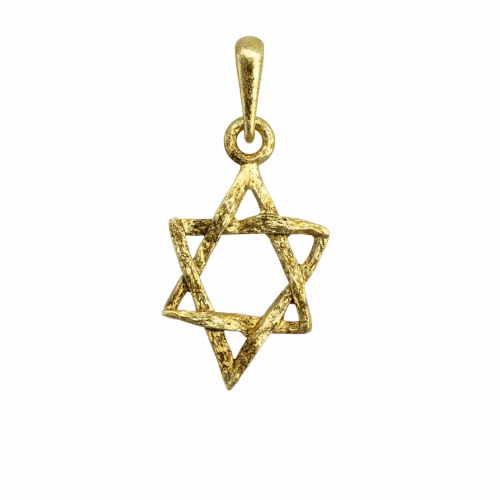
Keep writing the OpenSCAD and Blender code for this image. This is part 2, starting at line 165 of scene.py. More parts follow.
TOP_RIGHT_BAR = [
    (-0.08, 0.1, 0, 0.5, 0.7, 0, 0, 0.5, 0.5, 0.2),
    (-0.02, 0.1, 0.3, 0.8, 1, 4, -0.5, 0.5, 0.3, 0.2),
    (0.04, 0.14, 0.4, 0.88, 1.05, 8, -0.75, 0.5, 0.1, 0.5),
    (0.11, 0.19, 0.2, 0.95, 1.05, 10, -0.8, 0.5, 0, 0.65),
    (0.17, 0.27, -0.2, 0.96, 1, 8, -0.7, 0.5, 0, 0.85),
    (0.24, 0.31, -0.6, 1.05, 0.95, 10, -0.4, 0.5, 0.2, 0.9),
    (0.33, 0.3, -0.6, 1.1, 0.9, 0, -0.4, 0.6, 0.3, 1),
    (0.43, 0.29, -0.5, 1.13, 0.95, -6, -0.5, 0.7, 0.3, 1),
    (0.5, 0.32, -0.4, 1.03, 1, -4, -0.5, 0.75, 0.3, 1.12),
    (0.57, 0.38, -0.2, 1.04, 1.05, 4, -0.4, 0.65, 0.3, 1.08),
    (0.64, 0.41, 0.4, 1.07, 1.05, 14, -0.5, 0.6, 0.3, 1),
    (0.7, 0.41, 0.6, 0.97, 1.05, 16, -0.5, 0.6, 0.3, 0.8),
    (0.76, 0.35, 0.7, 0.9, 1, 9, 0.3, 0.6, 0.6, 1),
    (0.83, 0.26, 0.6, 0.86, 1, -8, 0.6, 0.6, 0.8, 1.12),
    (0.89, 0.21, 0.6, 0.8, 1, -1, 0.6, 0.5, 0.8, 1.1),
    (0.96, 0.12, 0.6, 0.84, 0.95, 4, 0.4, 0.4, 0.5, 0.8),
    (1.01, -0.02, 0.5, 0.82, 0.85, 0, 0.2, 0.3, 0.4, 0.8),
    (1.035, -0.05, 0.3, 0.52, 0.55, 0, 0, 0.4, 0.4, 0.8),
]

LOWER_BAR = [
    (-0.045, 0.02, 0.6, 0.32, 0.6, 16, 0, 0.4, 0.4, 0.3),
    (-0.02, 0.01, 0.65, 0.46, 0.85, 18, 0.4, 0.4, 0.8, 0.35),
    (0.03, -0.01, 0.7, 0.6, 0.95, 16, 0.4, 0.5, 0.7, 0.4),
    (0.09, -0.02, 0.8, 0.72, 1, 12, -0.1, 0.8, 0.75, 0.5),
    (0.16, -0.08, 0.9, 0.82, 1, 3, -0.3, 0.7, 0.6, 0.7),
    (0.23, -0.13, 1, 0.96, 1.05, 5, -0.2, 0.7, 0.6, 0.7),
    (0.31, -0.14, 1, 1.13, 1.05, 12, 0.3, 0.4, 0.95, 0.7),
    (0.38, -0.14, 0.8, 1.18, 1.05, 12, 0.4, 0.3, 0.95, 0.7),
    (0.45, -0.13, 0.5, 1.18, 1.05, 8, 0.4, 0.3, 0.95, 0.7),
    (0.53, -0.11, 0, 1.17, 1, -3, 0.3, 0.5, 0.8, 1),
    (0.6, -0.15, -0.5, 1.15, 0.95, -6, 0.1, 0.6, 0.7, 1.08),
    (0.69, -0.14, -0.9, 1.04, 0.9, 8, -0.6, 0.5, 0.5, 0.6),
    (0.78, -0.14, -0.8, 0.94, 0.9, 8, -0.6, 0.5, 0.8, 0.7),
    (0.88, -0.11, -0.6, 0.84, 0.95, 2, -0.5, 0.5, 0.5, 1.1),
    (0.96, -0.05, -0.4, 0.84, 0.95, 0, -0.1, 0.4, 0.3, 1),
    (1.01, 0.01, -0.4, 0.74, 0.8, 0, 0, 0.4, 0.4, 1),
]

BARS = [
    (HIGH_LEFT, HIGH_RIGHT, UPPER_BAR),
    (HIGH_LEFT, BOTTOM, LEFT_BAR),
    (HIGH_RIGHT, BOTTOM, RIGHT_BAR),
    (TOP, LOW_LEFT, TOP_LEFT_BAR),
    (TOP, LOW_RIGHT, TOP_RIGHT_BAR),
    (LOW_LEFT, LOW_RIGHT, LOWER_BAR),
]

# The neck: place down it from the loop's wire as a share of its length, shift to the right and
# width as shares of its width, and how far it reaches forwards and back as shares of its depth
NECK = [
    (-0.3, 0, 0.3, 0.25, 0.25),
    (0.05, 0, 0.62, 0.35, 0.35),
    (0.35, 0, 0.86, 0.41, 0.38),
    (0.65, 0, 0.96, 0.46, 0.37),
    (0.95, -0.03, 1.12, 0.5, 0.34),
    (1.3, -0.04, 1.34, 0.54, 0.29),
    (1.6, -0.05, 1.5, 0.56, 0.25),
    (1.85, -0.06, 1.44, 0.57, 0.2),
    (2.05, -0.06, 1.2, 0.55, 0.12),
]

# Webs in the corners where bars meet: three points, counted as the corners are, a radius as a
# share of the bar's width, and how far back the web lies as a share of the bar's depth
WEBS = [
    ((0.082, -0.268), (0.124, -0.275), (0.12, -0.297), 0.1, 0.15),
    ((0.235, -0.283), (0.267, -0.282), (0.245, -0.297), 0.07, 0.15),
    ((0.036, -0.712), (0.08, -0.704), (0.106, -0.676), 0.12, 0.15),
    ((0.245, -0.611), (0.291, -0.616), (0.264, -0.596), 0.17, 0.15),
    ((0.199, -0.697), (0.206, -0.668), (0.186, -0.692), 0.2, 0.15),
    ((0.323, -0.717), (0.304, -0.72), (0.326, -0.703), 0.07, 0.15),
    ((-0.068, -0.745), (-0.03, -0.776), (0.01, -0.745), 0.13, -0.2),
    ((-0.107, -0.898), (-0.113, -0.94), (-0.094, -0.93), 0.13, 0.15),
    ((-0.367, -0.441), (-0.386, -0.418), (-0.36, -0.41), 0.13, -0.05),
    ((-0.4, -0.56), (-0.413, -0.557), (-0.387, -0.548), 0.12, 0.15),
    ((-0.498, -0.649), (-0.472, -0.658), (-0.511, -0.668), 0.1, 0.15),
    ((-0.43, -0.287), (-0.413, -0.282), (-0.433, -0.301), 0.07, 0.15),
    ((0.304, -0.465), (0.33, -0.441), (0.304, -0.434), 0.11, 0.15),
    ((0.42, -0.29), (0.396, -0.278), (0.433, -0.311), 0.12, 0.15),
    ((-0.125, -0.205), (-0.078, -0.234), (-0.13, -0.262), 0.14, -0.05),
    ((0.076, -0.18), (0.05, -0.205), (0.089, -0.195), 0.1, -0.1),
    ((-0.102, -0.968), (-0.076, -0.989), (-0.086, -1.001), 0.06, -0.1),
]

# Half of the bail, from the top of its eye to the foot: share of the way round, how far the
# width has grown from the foot's to the bail's, how far the metal has grown from the leg's to
# the crown's (or, past 0.8 of the way, to the foot's), and its share inside the widest line
BAIL_ROWS = [
    (0, 1, 1, 0.1),
    (0.1, 1, 1, 0.1),
    (0.22, 0.94, 0.8, 0.12),
    (0.35, 0.76, 0.45, 0.15),
    (0.5, 0.52, 0.15, 0.2),
    (0.65, 0.3, 0, 0.25),
    (0.78, 0.12, 0, 0.32),
    (0.88, 0.01, 0.15, 0.42),
    (0.94, 0, 0.65, 0.48),
    (1, 0, 1, 0.5),
]
FOOT_STARTS = 0.8
# Where the arc over the chain and the straight leg end, as shares of the bail's half
EYE_PART, LEG_PART = 0.25, 0.85

# How finely each form is drawn
BAR_RINGS = 90
LOOP_RINGS, LOOP_SIDES = 120, 40
NECK_RINGS, NECK_SIDES = 50, 48
WEB_RINGS, WEB_SIDES = 12, 36
BAIL_RINGS, BAIL_SIDES = 170, 96
# A finished piece has fewer triangles than this
TRIANGLE_LIMIT = 200_000

# A bar's outline: points on each of its seven sides, how far down its back edges start and how
# wide its flat back is, as shares of its half depth and half width, and how often it is rounded
POINTS_A_SIDE = 9
BACK_EDGE, BACK_FLAT = 0.5, 0.55
ROUNDINGS = 3
# The star's top corner lies right of the loop's middle by this share of a bar's width
TOP_SHIFT = 0.06
# The neck's ovals and the webs' rims are fuller than round: powers of their sines and cosines
NECK_POWER, WEB_POWER = 0.8, 0.5
# Half the depth of a web, as a share of a bar's
WEB_DEEP = 0.18
# The loop's front is worn down outside, by this share at most, most of all at this angle
LOOP_WORN, LOOP_WORN_SIDE = 0.35, -30


class StarSizes(bpy.types.PropertyGroup):
    """Sizes of the star, its neck and its loop, in millimetres."""

    width: FloatProperty(
        name="Width", description="Corner to corner across the star, mm", default=15.35, min=10, max=25)
    height: FloatProperty(
        name="Height", description="Top corner to bottom corner, mm", default=20.7, min=14, max=32)
    bar_width: FloatProperty(
        name="Bar width", description="Width of a bar, mm", default=1.58, min=0.8, max=2.4)
    bar_depth: FloatProperty(
        name="Bar depth", description="Depth of a bar, mm", default=1.2, min=0.6, max=2)
    weave: FloatProperty(
        name="Weave", description="How far a bar rises over another, mm", default=0.45, min=0.1, max=0.8)
    loop_wire: FloatProperty(
        name="Loop wire", description="Diameter of the loop's wire, mm", default=1.35)
    loop_bore: FloatProperty(
        name="Loop bore", description="Inside diameter of the loop, mm", default=2.5)
    neck_length: FloatProperty(
        name="Neck length", description="Loop's wire to top corner, mm", default=1.43)
    neck_width: FloatProperty(name="Neck width", description="Width of the neck, mm", default=2.05)
    neck_depth: FloatProperty(name="Neck depth", description="Depth of the neck, mm", default=1.5)
    voxel: FloatProperty(
        name="Fusing grid", description="Grid on which the bars are fused, mm",
        default=0.085, min=0.05, max=0.3)
    seed: IntProperty(name="Seed", description="Picks the hammer marks", default=7)


class BailSizes(bpy.types.PropertyGroup):
    """Sizes of the bail, in millimetres."""

    width: FloatProperty(
        name="Width", description="Width across the top, mm", default=float(BAIL_HIGH[0] - BAIL_LOW[0]))
    foot_width: FloatProperty(name="Foot width", description="Width of the foot, mm", default=1.12)
    eye_radius: FloatProperty(name="Eye radius", description="Round top inside, mm", default=1.35)
    foot_radius: FloatProperty(name="Foot radius", description="Round foot inside, mm", default=0.755)
    crown: FloatProperty(name="Crown", description="Metal at the top, mm", default=float(BAIL_HIGH[2]))
    leg: FloatProperty(name="Leg", description="Metal in the legs, mm", default=0.76)
    foot: FloatProperty(name="Foot", description="Metal in the foot, mm", default=1.47)


class GoldFinish(bpy.types.PropertyGroup):
    """Colours and polish of the gold."""

    gold: StringProperty(name="Gold", description="sRGB hex of the clean metal", default="#F8E9B5")
    worn: StringProperty(name="Worn", description="sRGB hex of the redder patches", default="#F7E09E")
    # Partly a painted highlight: this paler colour on the ridges stands in for their bright lines, as
    # well as for wear that polished them
    rubbed: StringProperty(name="Rubbed", description="sRGB hex of the ridges", default="#FBECBE")
    # Painted shade: this brown also tints the soldered corners and the faces that look sideways, and the
    # band down the bail's front as a painted dark reflection; in pits and cracks it is partly dirt and
    # partly painted shade
    dirt_and_shade_colour: StringProperty(name="Hollows", description="sRGB hex of the pits", default="#7A5C1C")
    roughness: FloatProperty(
        name="Roughness", description="Of the hammered faces", default=0.12,
        min=0, max=1, subtype="FACTOR")
    polish: FloatProperty(
        name="Polish", description="Roughness of the bail", default=0.1,
        min=0, max=1, subtype="FACTOR")


class Studio(bpy.types.PropertyGroup):
    """The camera and the floor."""

    distance: FloatProperty(
        name="Distance", description="Camera to pendant", default=0.5, min=0.2, max=2, unit="LENGTH")
    view_height: FloatProperty(
        name="View height", description="Height of the frame at the pendant", default=0.05, unit="LENGTH")
    centre: FloatVectorProperty(
        name="Centre", description="Middle of the frame", default=(0.00005, 0, -0.02027),
        subtype="XYZ", unit="LENGTH")
    floor_z: FloatProperty(
        name="Floor", description="Height of the floor", default=-0.075, unit="LENGTH")


def between(low, high, share):
    """A value a share of the way from low to high."""
    return low + (high - low) * share


def rise(values, start, full):
    """The share of the way that values have come from start to full, kept from 0 to 1."""
    return np.clip((values - start) / (full - start), 0, 1)


def fuller(share, power):
    """A share to a power, with its sign kept."""
    return np.sign(share) * np.abs(share) ** power


def round_turn(count):
    """Angles that divide a full turn evenly."""
    return np.linspace(0, 2 * np.pi, count, endpoint=False)


def read_rows(rows, places):
    """Columns of a table at any places: cubic curves through the rows, each with the slope of
    the line that joins its two neighbours. Returns an array of places by columns."""
    rows = np.array(rows, dtype=float)
    at = rows[:, 0]
    low = np.clip(np.searchsorted(at, places, side="left") - 1, 0, len(at) - 2)
    before = np.maximum(np.arange(len(at)) - 1, 0)
    after = np.minimum(np.arange(len(at)) + 1, len(at) - 1)
    slopes = (rows[after] - rows[before]) / (at[after] - at[before])[:, None]
    step = (at[low + 1] - at[low])[:, None]
    u = ((places - at[low]) / step[:, 0])[:, None]
    climb = rows[low + 1] - rows[low]
    bend = step * u * (1 - u) * ((1 - u) * slopes[low] - u * slopes[low + 1])
    return rows[low] + climb * (3 - 2 * u) * u * u + bend


def tube(points, closed=False):
    """A tube's vertices and faces from a grid of rings by sides. Each ring's sides are joined to
    the next ring's by quads. A closed tube's last ring is joined to its first, and an open one
    gets a fan of triangles to the middle of each end."""
    rings, sides, _ = points.shape
    vertices = points.reshape(-1, 3)
    ring = np.arange(rings if closed else rings - 1)[:, None]
    side = np.arange(sides)
    following = (side + 1) % sides
    here, there = ring * sides, (ring + 1) % rings * sides
    quads = np.stack([here + side, there + side, there + following, here + following], axis=-1)
    faces = [quads.reshape(-1, 4)]
    if not closed:
        first, last = (np.full(sides, len(vertices) + end) for end in (0, 1))
        base = (rings - 1) * sides
        faces.append(np.stack([first, following, side], axis=-1))
        faces.append(np.stack([last, base + side, base + following], axis=-1))
        vertices = np.concatenate([vertices, [points[0].mean(axis=0), points[-1].mean(axis=0)]])
    return vertices, faces


def joined(parts):
    """One array of vertices and one list of face arrays from many parts."""
    starts = np.cumsum([0] + [len(vertices) for vertices, _ in parts])
    faces = [group + start for (_, groups), start in zip(parts, starts) for group in groups]
    return np.concatenate([vertices for vertices, _ in parts]), faces


def new_mesh(name, vertices, faces):
    """A mesh that points outwards: its faces are turned round if its volume comes out negative."""
    mesh = bpy.data.meshes.new(name)
    mesh.from_pydata(vertices.tolist(), [], [face for group in faces for face in group.tolist()])
    if signed_volume(mesh) < 0:
        mesh.flip_normals()
    mesh.update()
    return mesh


def triangles(mesh):
    """Vertex numbers of the mesh's triangles."""
    mesh.calc_loop_triangles()
    out = np.empty(len(mesh.loop_triangles) * 3, dtype=np.int32)
    mesh.loop_triangles.foreach_get("vertices", out)
    return out.reshape(-1, 3)


def edge_pairs(mesh):
    """Vertex numbers of the mesh's edges."""
    out = np.empty(len(mesh.edges) * 2, dtype=np.int32)
    mesh.edges.foreach_get("vertices", out)
    return out.reshape(-1, 2)


def positions(mesh):
    """The mesh's vertices as an array."""
    out = np.empty(len(mesh.vertices) * 3)
    mesh.vertices.foreach_get("co", out)
    return out.reshape(-1, 3)


def signed_volume(mesh):
    """A sixth of the sum of a . (b x c) over the triangles."""
    a, b, c = np.moveaxis(positions(mesh)[triangles(mesh)], 1, 0)
    return float((a * np.cross(b, c)).sum() / 6)


def star_corner(share, sizes):
    """A corner's x and z in mm, from its shares of the star's width and height."""
    top_x = TOP_SHIFT * sizes.bar_width
    top_z = LOOP_Z - (sizes.loop_bore + sizes.loop_wire) / 2 - sizes.neck_length
    return np.array([top_x + share[0] * sizes.width, top_z + share[1] * sizes.height])


def bar_sections(rows, sizes):
    """Closed outlines of a bar, one for each row read. Each is a seven-cornered shape with a
    ridge on its front, whose sides are divided evenly and whose corners are then rounded by
    averaging neighbours. It is turned by the row's degrees, and brought back to the row's width.
    Returns rows by points by (left, towards the viewer)."""
    half = rows[:, WIDE] * sizes.bar_width / 2
    deep = rows[:, DEEP] * sizes.bar_depth / 2
    roll = np.radians(rows[:, ROLL])
    corners = np.stack([
        np.stack([half, deep * rows[:, LEFT_EDGE]], axis=-1),
        np.stack([half * rows[:, RIDGE], deep], axis=-1),
        np.stack([-half, deep * rows[:, RIGHT_EDGE]], axis=-1),
        np.stack([-half, -deep * BACK_EDGE], axis=-1),
        np.stack([-half * BACK_FLAT, -deep], axis=-1),
        np.stack([half * BACK_FLAT, -deep], axis=-1),
        np.stack([half, -deep * BACK_EDGE], axis=-1),
    ], axis=1)
    share = (np.arange(POINTS_A_SIDE) / POINTS_A_SIDE)[None, None, :, None]
    ahead = np.roll(corners, -1, axis=1)
    outline = between(corners[:, :, None], ahead[:, :, None], share).reshape(len(rows), -1, 2)
    for _ in range(ROUNDINGS):
        outline = (np.roll(outline, 1, axis=1) + 2 * outline + np.roll(outline, -1, axis=1)) / 4
    left, front = outline[..., 0], outline[..., 1]
    cos, sin = np.cos(roll)[:, None], np.sin(roll)[:, None]
    turned = left * cos + front * sin
    reach = np.abs(turned).max(axis=1, keepdims=True)
    return np.stack([turned * half[:, None] / reach, front * cos - left * sin], axis=-1)


def bar_path(bar, sizes, count):
    """The middle line of a bar, from the first row of its table to the last: a straight line
    from corner to corner, moved across and lifted by the table. Returns points, the bar's left,
    the rows read, and the length so far in mm."""
    start, end = star_corner(bar[0], sizes), star_corner(bar[1], sizes)
    length = np.linalg.norm(end - start)
    ahead = (end - start) / length
    left = np.array([-ahead[1], ahead[0]])
    places = np.linspace(bar[2][0][0], bar[2][-1][0], count)
    rows = read_rows(bar[2], places)
    flat = start + (end - start) * places[:, None] + left * sizes.bar_width * rows[:, ACROSS, None]
    points = np.stack([flat[:, 0], -sizes.weave * rows[:, LIFT], flat[:, 1]], axis=-1)
    return points, np.array([left[0], 0, left[1]]), rows, places * length


def bar_surface(bar, sizes):
    """A bar: its sections carried along its middle line."""
    middle, left, rows, _ = bar_path(bar, sizes, BAR_RINGS)
    section = bar_sections(rows, sizes)
    towards = np.array([0, -1, 0])
    return tube(middle[:, None] + section[..., :1] * left + section[..., 1:] * towards)


def loop_surface(sizes):
    """The loop: a circle of wire carried round a circle. On one side the front is worn down
    outside, by a share that falls with the cosine of the turn from where it is worn most."""
    around = round_turn(LOOP_RINGS)[:, None]
    across = round_turn(LOOP_SIDES)
    wire = sizes.loop_wire / 2
    reach = sizes.loop_bore / 2 + wire + wire * np.cos(across)
    worn = LOOP_WORN * np.clip(np.cos(around - math.radians(LOOP_WORN_SIDE)), 0, 1)
    worn = np.where(np.sin(across) < 0, worn * np.clip(np.cos(across), 0, 1), 0)
    x, y = reach * np.cos(around), wire * np.sin(across) * (1 - worn)
    return tube(np.stack([x, y, LOOP_Z + reach * np.sin(around)], axis=-1), closed=True)


def neck_surface(sizes):
    """The neck: ovals, squared a little, carried down a line. An oval's points are the cosine
    and sine of the turn, each to a power."""
    rows = read_rows(NECK, np.linspace(NECK[0][0], NECK[-1][0], NECK_RINGS))
    turn = round_turn(NECK_SIDES)
    wire_z = LOOP_Z - (sizes.loop_bore + sizes.loop_wire) / 2
    z = wire_z - sizes.neck_length * rows[:, :1] + 0 * turn
    x = sizes.neck_width * (rows[:, 1:2] + rows[:, 2:3] / 2 * fuller(np.cos(turn), NECK_POWER))
    reach = np.where(np.sin(turn) < 0, rows[:, 3:4], rows[:, 4:5])
    y = sizes.neck_depth * reach * fuller(np.sin(turn), NECK_POWER)
    return tube(np.stack([x, y, z], axis=-1))


def web_surface(web, sizes):
    """A web: a cushion whose outline is the hull of three circles. The outline's point in each
    direction is the farthest of the three centres that way, plus the radius. It narrows towards
    front and back with the cosine of the height, to a power."""
    centres = np.array([star_corner(point, sizes) for point in web[:3]])
    turn = round_turn(WEB_SIDES)
    ways = np.stack([np.cos(turn), np.sin(turn)], axis=-1)
    outline = centres[np.argmax(ways @ centres.T, axis=1)] + web[3] * sizes.bar_width * ways
    middle = centres.mean(axis=0)
    height = np.linspace(-np.pi / 2, np.pi / 2, WEB_RINGS + 2)[1:-1, None]
    flat = middle + (outline - middle)[None] * fuller(np.cos(height), WEB_POWER)[..., None]
    y = sizes.bar_depth * (web[4] + WEB_DEEP * np.sin(height)) + 0 * turn
    return tube(np.stack([flat[..., 0], y, flat[..., 1]], axis=-1))


def fused(name, vertices, faces, voxel):
    """Fuses overlapping closed forms into one skin on an even grid, in mm, because the
    modifier's grid has a least size of a tenth of a unit's thousandth."""
    mesh = new_mesh(name + "_parts", vertices, faces)
    piece = bpy.data.objects.new(name + "_parts", mesh)
    bpy.context.scene.collection.objects.link(piece)
    remesh = piece.modifiers.new("fuse", "REMESH")
    remesh.mode = "VOXEL"
    remesh.voxel_size = voxel
    evaluated = piece.evaluated_get(bpy.context.evaluated_depsgraph_get())
    whole = bpy.data.meshes.new_from_object(evaluated)
    bpy.data.objects.remove(piece)
    bpy.data.meshes.remove(mesh)
    if not whole.polygons:
        raise RuntimeError(f"{name}: nothing is left after fusing")
    return whole


def neighbour_mean(values, edges):
    """Each vertex's mean of the values at the other ends of its edges."""
    count = np.bincount(edges.ravel(), minlength=len(values))[:, None]
    ends = np.concatenate([edges[:, 0], edges[:, 1]])
    others = values[np.concatenate([edges[:, 1], edges[:, 0]])]
    columns = [np.bincount(ends, weights=column, minlength=len(values)) for column in others.T]
    return np.stack(columns, axis=-1) / np.maximum(count, 1)


# Shares of the way to the neighbours' mean: in, and then back out
RELAX_IN, RELAX_OUT = 0.5, 0.53


def relaxed(points, edges, times):
    """Smooths without shrinking: each pass moves points to their neighbours' mean and then
    a little further back out."""
    for _ in range(times):
        points = points + RELAX_IN * (neighbour_mean(points, edges) - points)
        points = points - RELAX_OUT * (neighbour_mean(points, edges) - points)
    return points


def vertex_normals(points, tris):
    """Each vertex's outward direction: the sum of its triangles' area vectors."""
    a, b, c = np.moveaxis(points[tris], 1, 0)
    area = np.cross(b - a, c - a)
    total = np.zeros_like(points)
    for corner in tris.T:
        for axis in range(3):
            total[:, axis] += np.bincount(corner, weights=area[:, axis], minlength=len(points))
    return total / np.maximum(np.linalg.norm(total, axis=1, keepdims=True), 1e-12)


def hollowness(points, edges, normals, spread, full):
    """How far a point lies under its neighbours' mean, spread over a few edges: about 0 on
    flats, 1 in a pit or a groove whose sag, in mm, is full."""
    sag = ((neighbour_mean(points, edges) - points) * normals).sum(axis=1, keepdims=True)
    for _ in range(spread):
        sag = neighbour_mean(sag, edges)
    return np.clip(sag[:, 0] / full, 0, 1)


def scatter(cells, seed):
    """A fixed number from 0 to 1 for each whole-numbered cell: its coordinates and the seed
    times large numbers, with their high bits folded into the low ones between products."""
    x, y, z = (cells[..., i].astype(np.int64) for i in range(3))
    n = (x * 374761393 + y * 668265263 + z * 1440662683 + seed * 1274126177) & 0xFFFFFFFF
    n = ((n ^ (n >> 13)) * 1103515245) & 0xFFFFFFFF
    n = ((n ^ (n >> 15)) * 2246822519) & 0xFFFFFFFF
    return (n ^ (n >> 16)) / 2 ** 32


# Brings the noise's usual reach to about 1
SWELL_HEIGHT = 2.2


def swell(points, seed):
    """Smooth noise from about -1 to 1: at each whole-numbered corner a slope of its own, eased
    from corner to corner by 6 u^5 - 15 u^4 + 10 u^3."""
    base = np.floor(points)
    part = points - base
    ease = part * part * part * (part * (6 * part - 15) + 10)
    total = np.zeros(points.shape[:-1])
    for corner in np.ndindex(2, 2, 2):
        cell = base + np.array(corner)
        weight = np.prod(np.where(corner, ease, 1 - ease), axis=-1)
        slope = np.stack([2 * scatter(cell, seed + i) - 1 for i in range(3)], axis=-1)
        total += weight * (slope * (part - np.array(corner))).sum(axis=-1)
    return SWELL_HEIGHT * total


# Tool marks: size along, across and out of a part in mm, lean, and depth in mm
BLOWS = ((1.2, 0.75, 0.9), 0.5, 0.055)
FACETS = ((0.6, 0.25, 0.35), 0.8, 0.09)
CUTS = ((0.5, 0.2, 0.4), 0.6, 0.08)
BAIL_DENTS = ((0.34, 0.34, 0.5), 0.6, 0.022)
# The mean height of such bowls, which is taken off, so that on average the metal stays put
STRUCK_MEAN = 0.3
# Cracks: size in mm, and how close to zero the noise is inside the line
CRACKS = ((0.5, 0.2, 0.3), 0.09)
SLANTING_CRACKS = ((0.5, 0.2, 0.3), 0.08)
BAIL_CRACKS = ((0.2, 0.2, 0.35), 0.16)
CRACK_DEPTH, BAIL_CRACK_DEPTH = 0.07, 0.02
SCRATCH_SIZE, SCRATCH_DEPTH = np.array([0.7, 0.14, 0.14]), 0.012
# Patches: how wide in mm, their middle value, and how far they swing about it
WORKED_PATCHES = (1.1, 0.55, 0.9)
CUT_PATCHES = (1.7, 0, 2)
# How deep the facets are outside the worked patches, as a share
FACETS_LEAST = 0.4
# Turns the slanting marks 40 degrees across a bar
SLANT = np.array([[0.77, -0.64, 0], [0.64, 0.77, 0], [0, 0, 1]])
# How far marks wander sideways, and over what length, in mm: the relief, and the finest marks
RELIEF_WANDER = (0.3, 1.3)
FINE_WANDER = (0.07, 0.45)


def struck(places, tool, seed):
    """Height in mm of facets left by a tool, lowest in their middles. Each cell of the tool's
    size holds one blow, a bowl that leans its own way. The height is the least of the bowls:
    the square of the distance to the blow plus the lean times that offset."""
    size, lean, depth = tool
    places = places / np.array(size)
    base = np.floor(places)
    height = np.full(len(places), np.inf)
    for step in np.ndindex(3, 3, 3):
        cell = base + np.array(step) - 1
        offset = places - cell - np.stack([scatter(cell, seed + i) for i in range(3)], axis=-1)
        tip = np.stack([2 * scatter(cell, seed + i) - 1 for i in (3, 4, 5)], axis=-1)
        height = np.minimum(height, (offset ** 2 + lean * tip * offset).sum(axis=1))
    return depth * (height - STRUCK_MEAN)


def cracks(places, kind, seed):
    """Thin wandering lines, 1 on the line and 0 away from it: where smooth noise crosses zero."""
    size, thin = kind
    return np.clip(1 - np.abs(swell(places / np.array(size), seed)) / thin, 0, 1)


def patches(places, wide, middle, swing, seed):
    """Soft patches from 0 to 1: a middle value plus a swell."""
    return np.clip(middle + swing * swell(places / wide, seed), 0, 1)


def wandered(places, far, over, seed):
    """Places along the parts, shifted sideways by a swell, so that their marks curl a little."""
    sideways = far * swell(places / over, seed)
    return places + np.stack([0 * sideways, sideways, 0 * sideways], axis=-1)


def hammered(places, strength, seed):
    """Height of the relief, in mm, and how far each point lies in a crack, 0 to 1. The relief is
    broad shallow blows, narrow facets drawn out along each bar, slanting cuts in patches, fine
    lengthwise scratches, and cracks. Each kind adds a number of its own to the seed."""
    places = wandered(places, *RELIEF_WANDER, seed + 1)
    slant = places @ SLANT
    patch = patches(places, *WORKED_PATCHES, seed + 15)
    facets = struck(places, FACETS, seed + 20) * between(FACETS_LEAST, 1, patch)
    cuts = struck(slant, CUTS, seed + 40) * patches(places, *CUT_PATCHES, seed + 30)
    scratches = SCRATCH_DEPTH * swell(places / SCRATCH_SIZE, seed + 50)
    lines = np.maximum(cracks(places, CRACKS, seed + 60), cracks(slant, SLANTING_CRACKS, seed + 70))
    crack = strength * patch * lines
    relief = struck(places, BLOWS, seed + 10) + strength * (facets + cuts + scratches)
    return relief - CRACK_DEPTH * crack, crack


# How strongly parts are marked: the neck, and the loop away from and at its most marked angle
NECK_MARKS = 0.25
LOOP_MARKS = (0.6, 1.25)
LOOP_MARKED_SIDE, LOOP_MARKED_POWER = 220, 3
# Points on a middle line, and how far down the neck's line goes, as a share of its length
LINE_POINTS, NECK_POINTS, NECK_REACH = 60, 12, 1.3
# How far apart the parts lie in the places that their marks follow, in mm
PARTS_APART = 100


def centre_lines(sizes):
    """Middle line of each bar, of the loop and of the neck: points, the way ahead and the way
    to the left (one, or one for each point), the length so far in mm, and how strongly it is
    marked there."""
    for bar in BARS:
        middle, left, rows, length = bar_path(bar, sizes, LINE_POINTS)
        yield middle, np.array([left[2], 0, -left[0]]), left, length, rows[:, MARKS]
    # From the top, so that the place where the marks meet hides behind the bail
    turn = np.linspace(0.5 * np.pi, 2.5 * np.pi, LINE_POINTS, endpoint=False)
    radius = (sizes.loop_bore + sizes.loop_wire) / 2
    out = np.stack([np.cos(turn), 0 * turn, np.sin(turn)], axis=-1)
    ahead = np.stack([-np.sin(turn), 0 * turn, np.cos(turn)], axis=-1)
    nearness = (0.5 + 0.5 * np.cos(turn - math.radians(LOOP_MARKED_SIDE))) ** LOOP_MARKED_POWER
    marks = between(*LOOP_MARKS, nearness)
    yield np.array([0, 0, LOOP_Z]) + radius * out, ahead, out, turn * radius, marks
    down = np.linspace(0, NECK_REACH * sizes.neck_length, NECK_POINTS)
    line = np.stack([0 * down, 0 * down, LOOP_Z - radius - down], axis=-1)
    yield line, np.array([0, 0, -1]), np.array([1, 0, 0]), down, np.full(NECK_POINTS, NECK_MARKS)


def marked_places(points, sizes):
    """Each point's place along, across and out of the part whose middle line is nearest, in mm,
    and how strongly it is marked. The parts lie far apart along it, so that no two of them have
    the same marks."""
    nearest = np.full(len(points), np.inf)
    places, strength = np.zeros_like(points), np.zeros(len(points))
    for number, (middle, ahead, left, along, marks) in enumerate(centre_lines(sizes)):
        ahead, left = (np.broadcast_to(way, middle.shape) for way in (ahead, left))
        gaps = np.linalg.norm(points[:, None] - middle[None], axis=-1)
        near = gaps.argmin(axis=1)
        gap = gaps[np.arange(len(points)), near]
        offset = points - middle[near]
        place = np.stack([
            along[near] + (offset * ahead[near]).sum(axis=1) + PARTS_APART * number,
            (offset * left[near]).sum(axis=1),
            -offset[:, 1],
        ], axis=-1)
        nearer = gap < nearest
        nearest = np.where(nearer, gap, nearest)
        places = np.where(nearer[:, None], place, places)
        strength = np.where(nearer, marks[near], strength)
    return places, strength


def put_attributes(mesh, **values):
    """Gives the mesh's points named attributes, each of one number or of three."""
    for name, each in values.items():
        kind, field = ("FLOAT", "value") if each.ndim == 1 else ("FLOAT_VECTOR", "vector")
        mesh.attributes.new(name, kind, "POINT").data.foreach_set(field, each.ravel())


def show(name, mesh, points_mm, body, cad_node, material):
    """Puts a finished mesh in the scene, in metres, in place of its CAD node."""
    count = len(triangles(mesh))
    if not 0 < count < TRIANGLE_LIMIT or not np.isfinite(points_mm).all():
        raise RuntimeError(f"{name}: {count} triangles, or points that are no numbers")
    mesh.vertices.foreach_set("co", (points_mm * MM).ravel())
    mesh.update()
    mesh.shade_smooth()
    piece = bpy.data.objects.new(name, mesh)
    bpy.context.scene.collection.objects.link(piece)
    mesh.materials.clear()
    mesh.materials.append(material)
    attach(piece, body)
    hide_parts(cad_node)


def linear(hex_colour):
    """Linear RGBA of an sRGB hex colour."""
    values = [int(hex_colour[i:i + 2], 16) / 255 for i in (1, 3, 5)]
    return (*[v / 12.92 if v <= 0.04045 else ((v + 0.055) / 1.055) ** 2.4 for v in values], 1)


